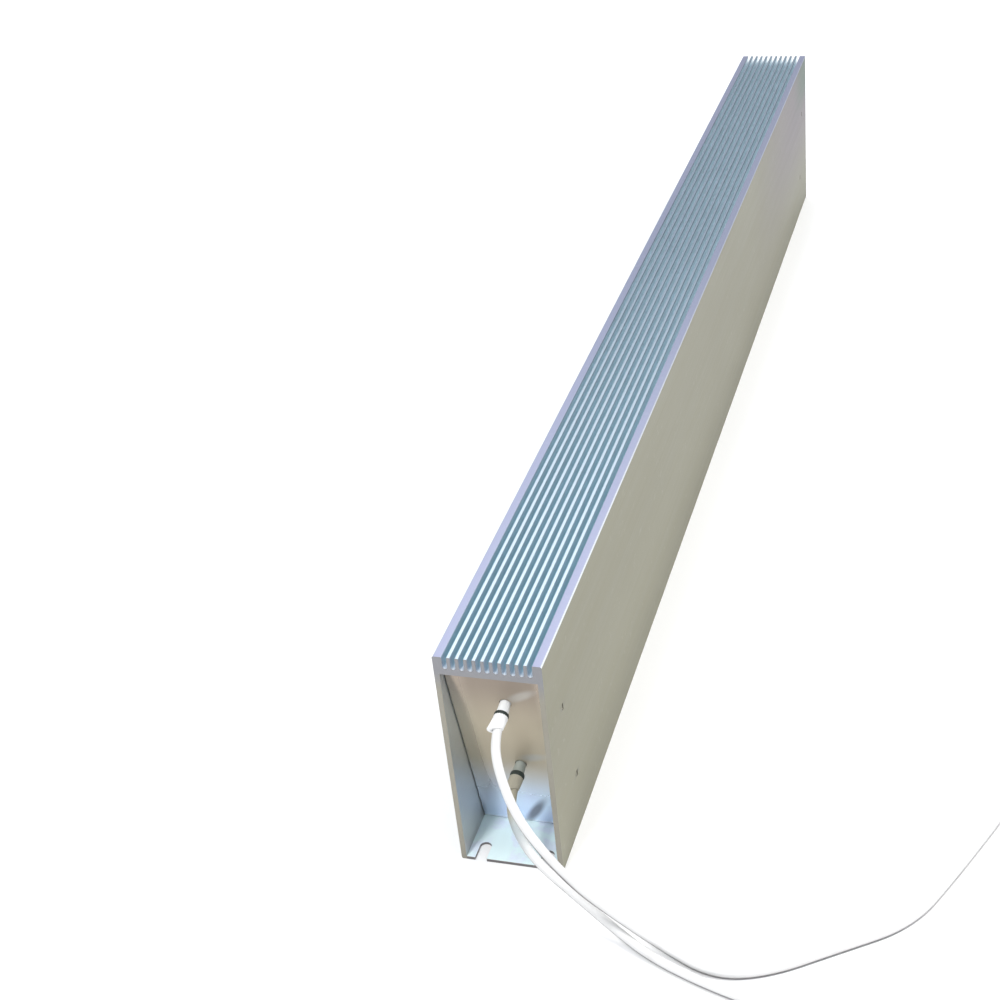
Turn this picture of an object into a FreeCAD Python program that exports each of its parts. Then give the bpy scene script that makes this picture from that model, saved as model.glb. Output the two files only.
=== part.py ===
"""Braking resistor in a finned aluminium housing, with two wound ceramic tubes inside.

The housing lies along Y and rests on its bottom wall.  The end with the leads
faces -Y.  The origin is the middle of the bottom face.  All lengths are in mm.
"""
import FreeCAD, Part
import math
import os
import Sketcher

V = FreeCAD.Vector
doc = FreeCAD.newDocument("braking_resistor")

# Driving dimensions, in millimetres and degrees
SIZES = [
    # the extruded housing
    ("housing_length", 800.0),
    ("housing_width", 50.0),
    ("housing_height", 120.0),
    ("side_wall", 2.5),
    ("bottom_wall", 1.6),
    ("roof_wall", 3.2),
    ("groove_depth", 6.3),
    ("groove_width", 2.25),
    ("fin_width", 1.65),
    ("groove_count", 11),
    ("fin_tip_radius", 0.3),
    ("edge_radius", 0.8),
    # fixing slots, open to the ends, in the bottom wall
    ("slot_width", 5.8),
    ("slot_reach", 11.0),
    ("slot_spacing", 31.0),
    # punch marks that hold the end covers
    ("stake_width", 1.9),
    ("stake_height", 3.4),
    ("stake_depth", 0.9),
    ("stake_inset", 12.5),
    ("stake_low", 31.0),
    ("stake_high", 80.0),
    # folded end covers, leaning outwards at the top
    ("cover_recess", 3.5),
    ("cover_tilt", 13.0),
    ("cover_sheet", 1.2),
    ("cover_flange", 16.0),
    ("cover_bend", 0.6),
    ("fit_gap", 0.15),
    # the two lead exits, at the front of the near cover, measured down from the roof inside
    ("exit_offset", 3.5),
    ("upper_exit_drop", 19.5),
    ("lower_exit_drop", 63.5),
    ("bushing_radius", 2.7),
    ("bushing_nose", 7.8),
    ("bushing_collar_radius", 4.6),
    ("bushing_collar", 2.0),
    ("bushing_rounding", 0.5),
    ("ring_height", 0.7),
    ("ring_width", 1.8),
    ("ring_place", 6.1),
    ("sleeve_wall", 0.6),
    ("sleeve_length", 7.6),
    ("sleeve_flare", 0.5),
    ("sleeve_mouth_angle", 25.0),
    ("sleeve_mouth_turn", 35.0),
    ("lead_radius", 2.1),
    ("core_radius", 1.1),
    ("bare_length", 9.0),
    ("upper_first_run", 11.4),
    ("lower_first_run", 14.2),
    ("crimp_radius", 2.2),
    ("crimp_length", 7.0),
    # the two wound ceramic tubes, measured down from the roof like the exits
    ("support_gap", 1.6),
    ("tube_radius", 14.0),
    ("tube_bore_radius", 9.0),
    ("upper_tube_drop", 30.5),
    ("lower_tube_drop", 77.5),
    ("ribbon_width", 8.0),
    ("ribbon_thickness", 0.8),
    ("winding_pitch", 56.0),
    ("running_gap", 0.1),
    ("support_thickness", 4.0),
    ("band_setback", 8.0),
    ("band_width", 10.0),
    ("band_thickness", 1.0),
    ("lug_width", 6.0),
    ("lug_thickness", 1.2),
    ("lug_top", 3.0),
    ("lug_inset", 5.0),
    ("link_width", 6.0),
    ("link_thickness", 1.2),
    ("liner_thickness", 0.8),
]

sheet = doc.addObject("Spreadsheet::Sheet", "Sizes")
for row, (alias, value) in enumerate(SIZES, start=1):
    sheet.set(f"A{row}", alias)
    sheet.set(f"B{row}", str(value))
    sheet.setAlias(f"B{row}", alias)
doc.recompute()

# Places worked out from the sizes, as expressions that the features share
HALF_LENGTH = "Sizes.housing_length / 2"
CAVITY_TOP = "(Sizes.housing_height - Sizes.groove_depth - Sizes.roof_wall)"
CAVITY_WIDTH = "(Sizes.housing_width - 2 * Sizes.side_wall)"
GROOVE_PITCH = "(Sizes.groove_width + Sizes.fin_width)"
LEAN = "tan(Sizes.cover_tilt * 1 deg)"
STEEP = "cos(Sizes.cover_tilt * 1 deg)"
RISE = "sin(Sizes.cover_tilt * 1 deg)"
COVER_FOOT = "(Sizes.bottom_wall + Sizes.fit_gap)"
UPPER_EXIT = f"({CAVITY_TOP} - Sizes.upper_exit_drop)"
UPPER_TUBE = f"({CAVITY_TOP} - Sizes.upper_tube_drop)"
LOWER_EXIT = f"({CAVITY_TOP} - Sizes.lower_exit_drop)"
LOWER_TUBE = f"({CAVITY_TOP} - Sizes.lower_tube_drop)"
BAND_RADIUS = "(Sizes.tube_radius + Sizes.running_gap)"
WINDING_RADIUS = "(Sizes.tube_radius + Sizes.running_gap + Sizes.ribbon_thickness)"
LINER_GAP = "(2 * Sizes.fit_gap + Sizes.liner_thickness)"
def cover_front(height):
    """Y of the near cover's front face at a height above the base."""
    return f"(-{HALF_LENGTH} + Sizes.cover_recess + ({CAVITY_TOP} - ({height})) * {LEAN})"


HALF_TUBE = f"(-{cover_front(COVER_FOOT)} - Sizes.cover_flange - Sizes.support_gap)"
LUG_PLACE = f"({HALF_TUBE} - Sizes.band_setback - Sizes.lug_inset)"
HALF_WINDING = f"({HALF_TUBE} - Sizes.band_setback - Sizes.band_width - Sizes.running_gap)"


def plane(body, role):
    """One of the body's own origin planes."""
    return next(item for item in body.Origin.OriginFeatures if item.Role == role)


def new_body(label):
    body = doc.addObject("PartDesign::Body", label)
    body.Label = label
    return body


def new_sketch(body, name, role):
    sketch = body.newObject("Sketcher::SketchObject", name)
    sketch.AttachmentSupport = [(plane(body, role), "")]
    sketch.MapMode = "FlatFace"
    return sketch


def bind_point(sketch, edge, end, across, up):
    """Fixes an edge's end point at two expressions, measured from the sketch's origin."""
    for axis, expression in (("DistanceX", across), ("DistanceY", up)):
        index = sketch.addConstraint(Sketcher.Constraint(axis, -1, 1, edge, end, 1.0))
        sketch.setExpression(f"Constraints[{index}]", str(expression))


def add_polygon(sketch, corners):
    """Closed polygon whose corners are pairs of expressions."""
    first = sketch.GeometryCount
    count = len(corners)
    ring = [V(math.cos(math.tau * k / count), math.sin(math.tau * k / count), 0) for k in range(count)]
    for k in range(count):
        sketch.addGeometry(Part.LineSegment(ring[k], ring[(k + 1) % count]), False)
    for k in range(count):
        after = first + (k + 1) % count
        sketch.addConstraint(Sketcher.Constraint("Coincident", first + k, 2, after, 1))
    for k, (across, up) in enumerate(corners):
        bind_point(sketch, first + k, 1, across, up)


def add_box(sketch, left, low, right, high):
    add_polygon(sketch, [(left, low), (right, low), (right, high), (left, high)])


def add_circle(sketch, across, up, radius):
    index = sketch.addGeometry(Part.Circle(V(0, 0, 0), V(0, 0, 1), 1.0), False)
    bind_point(sketch, index, 3, across, up)
    size = sketch.addConstraint(Sketcher.Constraint("Radius", index, 1.0))
    sketch.setExpression(f"Constraints[{size}]", radius)


def pad(body, name, sketch, length):
    """Pads a sketch evenly to both sides of its plane."""
    feature = body.newObject("PartDesign::Pad", name)
    feature.Profile = (sketch, [""])
    feature.SideType = "Symmetric"
    feature.setExpression("Length", length)
    return feature


def pocket(body, name, sketch, length, side="One side", towards_normal=False):
    feature = body.newObject("PartDesign::Pocket", name)
    feature.Profile = (sketch, [""])
    feature.SideType = side
    feature.Reversed = towards_normal
    feature.setExpression("Length", length)
    return feature


def mirror_to_all_corners(body, name, feature):
    """Repeats a feature at the other side and at the other end."""
    across = body.newObject("PartDesign::Mirrored", name + "Across")
    across.MirrorPlane = (plane(body, "YZ_Plane"), [""])
    along = body.newObject("PartDesign::Mirrored", name + "Along")
    along.MirrorPlane = (plane(body, "XZ_Plane"), [""])
    both = body.newObject("PartDesign::MultiTransform", name + "Corners")
    both.Originals = [feature]
    both.Transformations = [across, along]
    body.Tip = both
    doc.recompute()


def cut_and_check(body, name, before):
    """A pocket that points away from the metal cuts nothing, so its effect is measured."""
    doc.recompute()
    if not body.Shape.Volume < before - 1e-3:
        raise RuntimeError(f"{name} cut nothing")


def place(target, x="0", y="0", z="0", turn=None, axis=V(1, 0, 0)):
    """Binds a Placement: a position and, where given, a turn in degrees about one axis."""
    target.Placement = FreeCAD.Placement(V(0, 0, 0), FreeCAD.Rotation(axis, 1.0 if turn else 0.0))
    target.setExpression("Placement.Base.x", x)
    target.setExpression("Placement.Base.y", y)
    target.setExpression("Placement.Base.z", z)
    if turn:
        target.setExpression("Placement.Rotation.Angle", turn)


# Extruded housing: a box section whose roof carries eleven grooves
def make_housing():
    body = new_body("housing")
    section = new_sketch(body, "HousingSection", "XZ_Plane")
    half = "Sizes.housing_width / 2"
    inside = f"{CAVITY_WIDTH} / 2"
    add_box(section, f"-{half}", "0", half, "Sizes.housing_height")
    add_box(section, f"-{inside}", "Sizes.bottom_wall", inside, CAVITY_TOP)
    pad(body, "Extrusion", section, "Sizes.housing_length")
    doc.recompute()

    groove = new_sketch(body, "GrooveSection", "XZ_Plane")
    first_centre = f"(-(Sizes.groove_count - 1) / 2 * {GROOVE_PITCH})"
    bottom_centre = "(Sizes.housing_height - Sizes.groove_depth + Sizes.groove_width / 2)"
    above = "(Sizes.housing_height + Sizes.groove_depth)"
    add_open_slot(groove, first_centre, bottom_centre, above, "Sizes.groove_width")
    before = body.Shape.Volume
    first_groove = pocket(body, "FirstGroove", groove, "2 * Sizes.housing_length", side="Symmetric")
    cut_and_check(body, "FirstGroove", before)
    grooves = body.newObject("PartDesign::LinearPattern", "Grooves")
    grooves.Originals = [first_groove]
    grooves.Direction = (groove, ["H_Axis"])
    grooves.Mode = "Spacing"
    grooves.setExpression("Offset", GROOVE_PITCH)
    grooves.setExpression("Occurrences", "Sizes.groove_count")
    body.Tip = grooves
    doc.recompute()

    slot = new_sketch(body, "SlotOutline", "XY_Plane")
    mouth = f"(-{HALF_LENGTH} - Sizes.slot_width)"
    arch = f"(-{HALF_LENGTH} + Sizes.slot_reach - Sizes.slot_width / 2)"
    add_open_slot(slot, "Sizes.slot_spacing / 2", arch, mouth, "Sizes.slot_width")
    before = body.Shape.Volume
    first_slot = pocket(body, "FirstSlot", slot, "2 * Sizes.bottom_wall", towards_normal=True)
    cut_and_check(body, "FirstSlot", before)
    mirror_to_all_corners(body, "Slot", first_slot)

    marks = new_sketch(body, "StakeOutline", "YZ_Plane")
    marks.setExpression(".AttachmentOffset.Base.z", "Sizes.housing_width / 2")
    for height in ("Sizes.stake_low", "Sizes.stake_high"):
        middle = f"({cover_front(height)} + Sizes.stake_inset)"
        add_box(
            marks,
            f"{middle} - Sizes.stake_width / 2",
            f"{height} - Sizes.stake_height / 2",
            f"{middle} + Sizes.stake_width / 2",
            f"{height} + Sizes.stake_height / 2",
        )
    before = body.Shape.Volume
    first_marks = pocket(body, "FirstStakes", marks, "Sizes.stake_depth")
    cut_and_check(body, "FirstStakes", before)
    mirror_to_all_corners(body, "Stake", first_marks)
    round_long_edges(body)
    return body


def add_open_slot(sketch, centre, arc_centre, mouth, width):
    """Slot that runs from a half-round end to an open mouth, up or down the sketch."""
    upwards = sketch.evalExpression(f"{mouth} - {arc_centre}") > 0
    turn = math.pi if upwards else 0.0
    side = -1.0 if upwards else 1.0
    near = V(-side, 0, 0)
    far = V(side, 0, 0)
    reach = V(0, -9 * side, 0)
    sketch.addGeometry(Part.LineSegment(near, near + reach), False)
    sketch.addGeometry(Part.LineSegment(near + reach, far + reach), False)
    sketch.addGeometry(Part.LineSegment(far + reach, far), False)
    circle = Part.Circle(V(0, 0, 0), V(0, 0, 1), 1.0)
    sketch.addGeometry(Part.ArcOfCircle(circle, turn, turn + math.pi), False)
    for edge in range(4):
        sketch.addConstraint(Sketcher.Constraint("Coincident", edge, 2, (edge + 1) % 4, 1))
    for end in (1, 2):
        sketch.addConstraint(Sketcher.Constraint("Horizontal", 3, 3, 3, end))
    bind_point(sketch, 3, 3, centre, arc_centre)
    signs = ("+", "-") if upwards else ("-", "+")
    bind_point(sketch, 0, 2, f"{centre} {signs[0]} {width} / 2", mouth)
    bind_point(sketch, 2, 1, f"{centre} {signs[1]} {width} / 2", mouth)
    radius = sketch.addConstraint(Sketcher.Constraint("Radius", 3, 1.0))
    sketch.setExpression(f"Constraints[{radius}]", f"{width} / 2")


def long_edges(shape, wanted):
    """Names of the edges along the housing whose middle point is wanted."""
    names = []
    for number, edge in enumerate(shape.Edges, start=1):
        along = edge.BoundBox.YLength > sheet.housing_length / 2
        if along and wanted(edge.CenterOfMass):
            names.append(f"Edge{number}")
    return names


def round_long_edges(body):
    """Rounds the fin tips and the four outer edges, as the extrusion die leaves them."""
    top = sheet.housing_height
    outer = sheet.housing_width / 2

    def at_tip(point):
        return abs(point.z - top) < 1e-6 and abs(abs(point.x) - outer) > 1e-6

    def at_corner(point):
        return abs(abs(point.x) - outer) < 1e-6 and min(point.z, top - point.z) < 1e-6

    for name, wanted, radius in (
        ("FinTips", at_tip, "min(Sizes.fin_tip_radius; 0.4 * Sizes.fin_width)"),
        ("OuterEdges", at_corner, "min(Sizes.edge_radius; 0.4 * Sizes.side_wall)"),
    ):
        base = body.Tip
        rounding = body.newObject("PartDesign::Fillet", name)
        rounding.Base = (base, long_edges(base.Shape, wanted))
        rounding.setExpression("Radius", radius)
        body.Tip = rounding
        doc.recompute()


# Folded end covers: a leaning sheet with a flange turned inwards on all four sides
def make_cover(label, with_exits):
    body = new_body(label)
    low = COVER_FOOT
    high = f"({CAVITY_TOP} - Sizes.fit_gap)"
    wide = f"({CAVITY_WIDTH} - 2 * Sizes.fit_gap)"
    outline = new_sketch(body, label + "Outline", "YZ_Plane")
    add_polygon(
        outline,
        [
            (cover_front(low), low),
            (f"{cover_front(low)} + Sizes.cover_flange", low),
            (f"{cover_front(high)} + Sizes.cover_flange", high),
            (cover_front(high), high),
        ],
    )
    pad(body, label + "Blank", outline, wide)
    doc.recompute()
    fold_cover(body)
    if with_exits:
        before = body.Shape.Volume
        holes = new_sketch(body, label + "Exits", "XZ_Plane")
        holes.AttachmentOffset = FreeCAD.Placement(V(0, 0, 0), FreeCAD.Rotation(V(1, 0, 0), 1.0))
        holes.setExpression(".AttachmentOffset.Rotation.Angle", "Sizes.cover_tilt")
        holes.setExpression(".AttachmentOffset.Base.z", f"-{cover_front('0')}")
        for height in (UPPER_EXIT, LOWER_EXIT):
            add_circle(
                holes,
                "Sizes.exit_offset",
                f"{height} / {STEEP}",
                "Sizes.bushing_radius + Sizes.running_gap",
            )
        pocket(body, label + "Holes", holes, "3 * Sizes.cover_sheet")
        cut_and_check(body, label + "Holes", before)
    return body


def facing(shape, direction):
    """Names of the flat faces that look in a direction."""
    return [
        f"Face{number}"
        for number, face in enumerate(shape.Faces, start=1)
        if face.normalAt(0, 0).dot(direction) > 0.999
    ]


def fold_cover(body):
    """Turns a cover's blank into a folded sheet: hollows it from behind, then rounds the folds."""
    tilt = math.radians(sheet.cover_tilt)
    outward = V(0, -math.cos(tilt), -math.sin(tilt))
    blank = body.Tip
    before = body.Shape.Volume
    hollow = body.newObject("PartDesign::Thickness", body.Label + "Hollow")
    hollow.Base = (blank, facing(blank.Shape, outward * -1))
    hollow.Reversed = True
    hollow.setExpression("Value", "Sizes.cover_sheet")
    body.Tip = hollow
    cut_and_check(body, hollow.Name, before)
    bend = body.newObject("PartDesign::Fillet", body.Label + "Bend")
    bend.Base = (hollow, facing(hollow.Shape, outward))
    bend.setExpression("Radius", "min(Sizes.cover_bend; 0.8 * Sizes.cover_sheet)")
    body.Tip = bend
    doc.recompute()


# Turned pieces: a half section in the XZ plane, turned about the body's own Z axis
def make_turned(label, half_section):
    body = new_body(label)
    sketch = new_sketch(body, label + "Section", "XZ_Plane")
    add_polygon(sketch, half_section)
    turned = body.newObject("PartDesign::Revolution", label + "Turn")
    turned.Profile = (sketch, [""])
    turned.ReferenceAxis = (sketch, ["V_Axis"])
    turned.Angle = 360
    doc.recompute()
    return body


def place_at_exit(body, height, forward="0"):
    """Sets a body's Z axis on an exit's axis, which is square to the leaning cover."""
    place(
        body,
        x="Sizes.exit_offset",
        y=f"{cover_front(height)} - ({forward}) * {STEEP}",
        z=f"{height} - ({forward}) * {RISE}",
        turn="90 + Sizes.cover_tilt",
    )


def make_bushing(label, height):
    """Ceramic bushing: a nose through the cover and a collar behind it."""
    bore = "(Sizes.core_radius + Sizes.running_gap)"
    back = "(-Sizes.cover_sheet - Sizes.bushing_collar)"
    body = make_turned(
        label,
        [
            (bore, back),
            ("Sizes.bushing_collar_radius", back),
            ("Sizes.bushing_collar_radius", "-Sizes.cover_sheet"),
            ("Sizes.bushing_radius", "-Sizes.cover_sheet"),
            ("Sizes.bushing_radius", "Sizes.bushing_nose - Sizes.bushing_rounding"),
            ("Sizes.bushing_radius - Sizes.bushing_rounding", "Sizes.bushing_nose"),
            (bore, "Sizes.bushing_nose"),
        ],
    )
    place_at_exit(body, height)
    return body


def make_ring(label, height):
    """Rubber ring stretched over the bushing's nose: flat where it grips, crowned outside."""
    grip = "Sizes.bushing_radius"
    half = "Sizes.ring_width / 2"
    shoulder = f"({grip} + 0.6 * Sizes.ring_height)"
    crown = f"({grip} + Sizes.ring_height)"
    body = make_turned(
        label,
        [
            (grip, f"Sizes.ring_place - {half}"),
            (shoulder, f"Sizes.ring_place - {half}"),
            (crown, f"Sizes.ring_place - 0.5 * {half}"),
            (crown, f"Sizes.ring_place + 0.5 * {half}"),
            (shoulder, f"Sizes.ring_place + {half}"),
            (grip, f"Sizes.ring_place + {half}"),
        ],
    )
    place_at_exit(body, height)
    return body


def make_sleeve(label, height):
    """Glass-fibre sleeve: it grips the nose in front of the ring, flares and is cut off slanting."""
    start = "(Sizes.ring_place + Sizes.ring_width / 2)"
    end = f"({start} + Sizes.sleeve_length)"
    grip = "(Sizes.bushing_radius + Sizes.running_gap)"
    body = make_turned(
        label,
        [
            (grip, start),
            (f"{grip} + Sizes.sleeve_wall", start),
            (f"{grip} + Sizes.sleeve_wall + Sizes.sleeve_flare", end),
            (f"{grip} + Sizes.sleeve_flare", end),
        ],
    )
    before = body.Shape.Volume
    slant = new_sketch(body, label + "Slant", "YZ_Plane")
    slant.AttachmentOffset = FreeCAD.Placement(V(0, 0, 0), FreeCAD.Rotation(V(0, 1, 0), -1.0))
    slant.setExpression(".AttachmentOffset.Rotation.Angle", "-Sizes.sleeve_mouth_turn")
    rim = f"({grip} + Sizes.sleeve_wall + Sizes.sleeve_flare)"
    slope = "tan(Sizes.sleeve_mouth_angle * 1 deg)"
    add_polygon(
        slant,
        [
            (f"-2 * {rim}", f"{end} + {rim} * {slope}"),
            (f"2 * {rim}", f"{end} - 3 * {rim} * {slope}"),
            (f"2 * {rim}", f"{end} + 2 * {rim}"),
            (f"-2 * {rim}", f"{end} + 2 * {rim}"),
        ],
    )
    pocket(body, label + "Mouth", slant, f"4 * {rim}", side="Symmetric")
    cut_and_check(body, label + "Mouth", before)
    place_at_exit(body, height)
    return body


def core_reach(height):
    """Length of an exit's axis from the cover's front, inwards, to the face of its lug."""
    return f"((-{LUG_PLACE} - {cover_front(height)}) / {STEEP})"


def make_core(label, height):
    """Bare end of the lead's conductor, from the lug out to the mouth of the bushing."""
    core = doc.addObject("Part::Cylinder", label)
    core.Label = label
    reach = core_reach(height)
    core.setExpression("Radius", "Sizes.core_radius")
    core.setExpression("Height", f"{reach} + Sizes.bushing_nose - Sizes.running_gap")
    place_at_exit(core, height, forward=f"-({reach} - Sizes.running_gap)")
    return core


def make_crimp(label, height):
    """Crimp barrel that joins the conductor to the lug."""
    bore = "(Sizes.core_radius + Sizes.running_gap)"
    body = make_turned(
        label,
        [
            (bore, "0"),
            ("Sizes.crimp_radius", "0"),
            ("Sizes.crimp_radius", "Sizes.crimp_length"),
            (bore, "Sizes.crimp_length"),
        ],
    )
    place_at_exit(body, height, forward=f"-{core_reach(height)}")
    return body


# Leads: straight runs joined by tangent arcs.  A lead's first run goes straight out of its
# bushing, and the points below are the corners that follow.
UPPER_ROUTE = [
    (9.0, -424.3, 80.7),
    (18.5, -435.0, 64.0),
    (34.5, -436.5, 46.0),
    (45.5, -434.2, 26.0),
    (60.0, -434.5, 11.0),
    (79.0, -440.2, 2.1),
    (104.3, -451.0, 2.1),
    (128.5, -446.4, 2.1),
    (155.0, -427.0, 2.1),
    (183.0, -402.7, 2.1),
    (204.5, -373.0, 2.1),
    (219.0, -337.0, 2.1),
    (230.5, -301.0, 2.1),
    (238.5, -265.5, 2.1),
]
LOWER_ROUTE = [
    (9.5, -414.7, 36.3),
    (21.0, -421.8, 27.1),
    (38.0, -429.2, 15.0),
    (54.5, -436.8, 6.6),
    (76.3, -447.1, 2.1),
    (100.8, -457.3, 2.1),
    (130.0, -461.8, 2.1),
    (162.0, -462.6, 2.1),
    (196.0, -460.4, 2.1),
    (231.0, -459.6, 2.1),
    (266.0, -463.6, 2.1),
    (301.0, -471.0, 2.1),
    (335.0, -476.4, 2.1),
    (368.0, -476.2, 2.1),
]
ARC_SHARE = 0.45
cavity_top = sheet.housing_height - sheet.groove_depth - sheet.roof_wall


def exit_point(height, forward):
    """Point on an exit's axis, a distance in front of the cover."""
    tilt = math.radians(sheet.cover_tilt)
    drop = cavity_top - height
    front = -sheet.housing_length / 2 + sheet.cover_recess + drop * math.tan(tilt)
    outward = V(0, -math.cos(tilt), -math.sin(tilt))
    return V(sheet.exit_offset, front, height) + outward * forward


def lead_points(height, first_run, route):
    start = exit_point(height, sheet.bushing_nose)
    corner = exit_point(height, sheet.bushing_nose + first_run)
    return [start, corner] + [V(*point) for point in route]


def lead_path(points):
    """Wire of straight runs, each corner taken by an arc as large as its two runs allow."""
    edges = []
    radii = []
    start = points[0]
    for before, corner, after in zip(points, points[1:], points[2:]):
        inward = (corner - before).normalize()
        outward = (after - corner).normalize()
        half_turn = inward.getAngle(outward) / 2
        cut = ARC_SHARE * min((corner - before).Length, (after - corner).Length)
        radius = cut / math.tan(half_turn)
        radii.append(radius)
        first = corner - inward * cut
        last = corner + outward * cut
        middle_reach = radius / math.cos(half_turn) - radius
        towards_centre = (outward - inward).normalize()
        middle = corner + towards_centre * middle_reach
        edges.append(Part.LineSegment(start, first).toShape())
        edges.append(Part.Arc(first, middle, last).toShape())
        start = last
    edges.append(Part.LineSegment(start, points[-1]).toShape())
    return Part.Wire(edges), radii


def make_lead(label, points):
    wire, radii = lead_path(points)
    radius = sheet.lead_radius
    section = Part.Wire(Part.Circle(points[0], points[1] - points[0], radius).toShape())
    tube = wire.makePipeShell([section], True, True)
    expected = math.pi * radius**2 * wire.Length
    if abs(tube.Volume / expected - 1) > 0.01:
        raise RuntimeError(f"{label}: volume {tube.Volume:.0f}, expected {expected:.0f}")
    lead = doc.addObject("Part::Feature", label)
    lead.Shape = tube
    lead.Placement = FreeCAD.Placement()
    lead.Label = label
    listed = ", ".join(f"{r:.0f}" for r in radii)
    print(f"{label}: {wire.Length:.0f} mm long, arc radii {listed}")
    return lead


def make_bare_end(label, points):
    """Tinned end of the conductor, in line with the lead's last run."""
    last = points[-1]
    direction = (last - points[-2]).normalize()
    bare = doc.addObject("Part::Cylinder", label)
    bare.Label = label
    bare.setExpression("Radius", "Sizes.core_radius")
    bare.setExpression("Height", "Sizes.bare_length")
    bare.Placement = FreeCAD.Placement(last, FreeCAD.Rotation(V(0, 0, 1), direction))
    return bare


# Wound ceramic tubes, one above the other
def along_housing(target, height, start):
    """Turns a piece made along Z to lie along +Y, from a given Y, at a given height."""
    place(target, y=start, z=height, turn="-90")


def make_tube(label, height):
    body = make_turned(
        label,
        [
            ("Sizes.tube_bore_radius", "0"),
            ("Sizes.tube_radius", "0"),
            ("Sizes.tube_radius", f"2 * {HALF_TUBE}"),
            ("Sizes.tube_bore_radius", f"2 * {HALF_TUBE}"),
        ],
    )
    along_housing(body, height, f"-{HALF_TUBE}")
    return body


def make_winding(label, height):
    """Flat resistance ribbon wound round a tube, from one terminal band to the other."""
    body = new_body(label)
    section = new_sketch(body, label + "Section", "XZ_Plane")
    add_box(section, BAND_RADIUS, "0", WINDING_RADIUS, "Sizes.ribbon_width")
    helix = body.newObject("PartDesign::AdditiveHelix", label + "Turns")
    helix.Profile = (section, [""])
    helix.ReferenceAxis = (section, ["V_Axis"])
    helix.Mode = "pitch-height-angle"
    helix.setExpression("Pitch", "Sizes.winding_pitch")
    helix.setExpression("Height", f"2 * {HALF_WINDING} - Sizes.ribbon_width")
    doc.recompute()
    along_housing(body, height, f"-{HALF_WINDING}")
    return body


def add_cylinder(name, radius, height, length, start):
    cylinder = doc.addObject("Part::Cylinder", name)
    cylinder.setExpression("Radius", radius)
    cylinder.setExpression("Height", length)
    along_housing(cylinder, height, start)
    return cylinder


def subtract(label, base, tools):
    """Takes several tools from a base, one cut for each."""
    result = base
    for number, tool in enumerate(tools, start=1):
        cut = doc.addObject("Part::Cut", f"{label}Cut{number}")
        cut.Base = result
        cut.Tool = tool
        result = cut
    result.Label = label
    return result


def make_band(label, height, start):
    """Terminal band: a clamped ring round the end of a tube."""
    outer = add_cylinder(
        label + "Outer", f"{BAND_RADIUS} + Sizes.band_thickness", height, "Sizes.band_width", start
    )
    inner = add_cylinder(label + "Inner", BAND_RADIUS, height, "Sizes.band_width", start)
    return subtract(label, outer, [inner])


def make_lug_band(label, tube_height, exit_height):
    """Near band with a lug that stands up square to the conductor and meets its crimp."""
    start = f"-{HALF_TUBE} + Sizes.band_setback"
    ring = make_band(label + "Ring", tube_height, start)
    lug = doc.addObject("Part::Box", label + "Lug")
    reach = core_reach(exit_height)
    lug_height = f"({exit_height} + {reach} * {RISE})"
    foot = f"({tube_height} + {BAND_RADIUS} + 0.4 * Sizes.band_thickness)"
    depth = f"(({lug_height} - {foot}) / {STEEP})"
    lug.setExpression("Length", "Sizes.lug_width")
    lug.setExpression("Width", "Sizes.lug_thickness")
    lug.setExpression("Height", f"{depth} + Sizes.lug_top")
    lean = f"({depth} * {RISE})"
    place(
        lug,
        x="Sizes.exit_offset - Sizes.lug_width / 2",
        y=f"-{LUG_PLACE} + {lean}",
        z=f"{lug_height} - {depth} * {STEEP}",
        turn="Sizes.cover_tilt",
    )
    joined = doc.addObject("Part::Fuse", label)
    joined.Base = ring
    joined.Tool = lug
    joined.Label = label
    return joined


def make_series_link():
    """Strap that joins the far bands, with ends hollowed to sit on them."""
    strap = doc.addObject("Part::Box", "LinkStrap")
    strap.setExpression("Length", "Sizes.link_thickness")
    strap.setExpression("Width", "Sizes.link_width")
    strap.setExpression("Height", f"{UPPER_TUBE} - {LOWER_TUBE}")
    start = f"({HALF_TUBE} - Sizes.band_setback - (Sizes.band_width + Sizes.link_width) / 2)"
    place(strap, x="-Sizes.link_thickness / 2", y=start, z=LOWER_TUBE)
    seats = [
        add_cylinder(
            name,
            f"{BAND_RADIUS} + Sizes.band_thickness",
            height,
            "3 * Sizes.link_width",
            f"{start} - Sizes.link_width",
        )
        for name, height in (
            ("LinkUpperSeat", UPPER_TUBE),
            ("LinkLowerSeat", LOWER_TUBE),
        )
    ]
    return subtract("series_link", strap, seats)


def add_block(name, gap, start, length):
    """Block that fills the housing's cavity, less a gap all round."""
    block = doc.addObject("Part::Box", name)
    block.setExpression("Length", f"{CAVITY_WIDTH} - 2 * {gap}")
    block.setExpression("Width", length)
    block.setExpression("Height", f"{CAVITY_TOP} - Sizes.bottom_wall - 2 * {gap}")
    place(block, x=f"-{CAVITY_WIDTH} / 2 + {gap}", y=start, z=f"Sizes.bottom_wall + {gap}")
    return block


def make_support(label, start, wire_exits):
    """Ceramic plate that holds one end of both tubes."""
    plate = add_block(label + "Plate", LINER_GAP, start, "Sizes.support_thickness")
    tools = [
        add_cylinder(
            label + name,
            "Sizes.tube_radius + Sizes.running_gap",
            height,
            "3 * Sizes.support_thickness",
            f"{start} - Sizes.support_thickness",
        )
        for name, height in (
            ("UpperSeat", UPPER_TUBE),
            ("LowerSeat", LOWER_TUBE),
        )
    ]
    for name, height in wire_exits:
        hole = doc.addObject("Part::Cylinder", label + name)
        hole.setExpression("Radius", "Sizes.core_radius + Sizes.fit_gap")
        hole.setExpression("Height", core_reach(height))
        place_at_exit(hole, height, forward=f"-{core_reach(height)}")
        tools.append(hole)
    return subtract(label, plate, tools)


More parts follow.
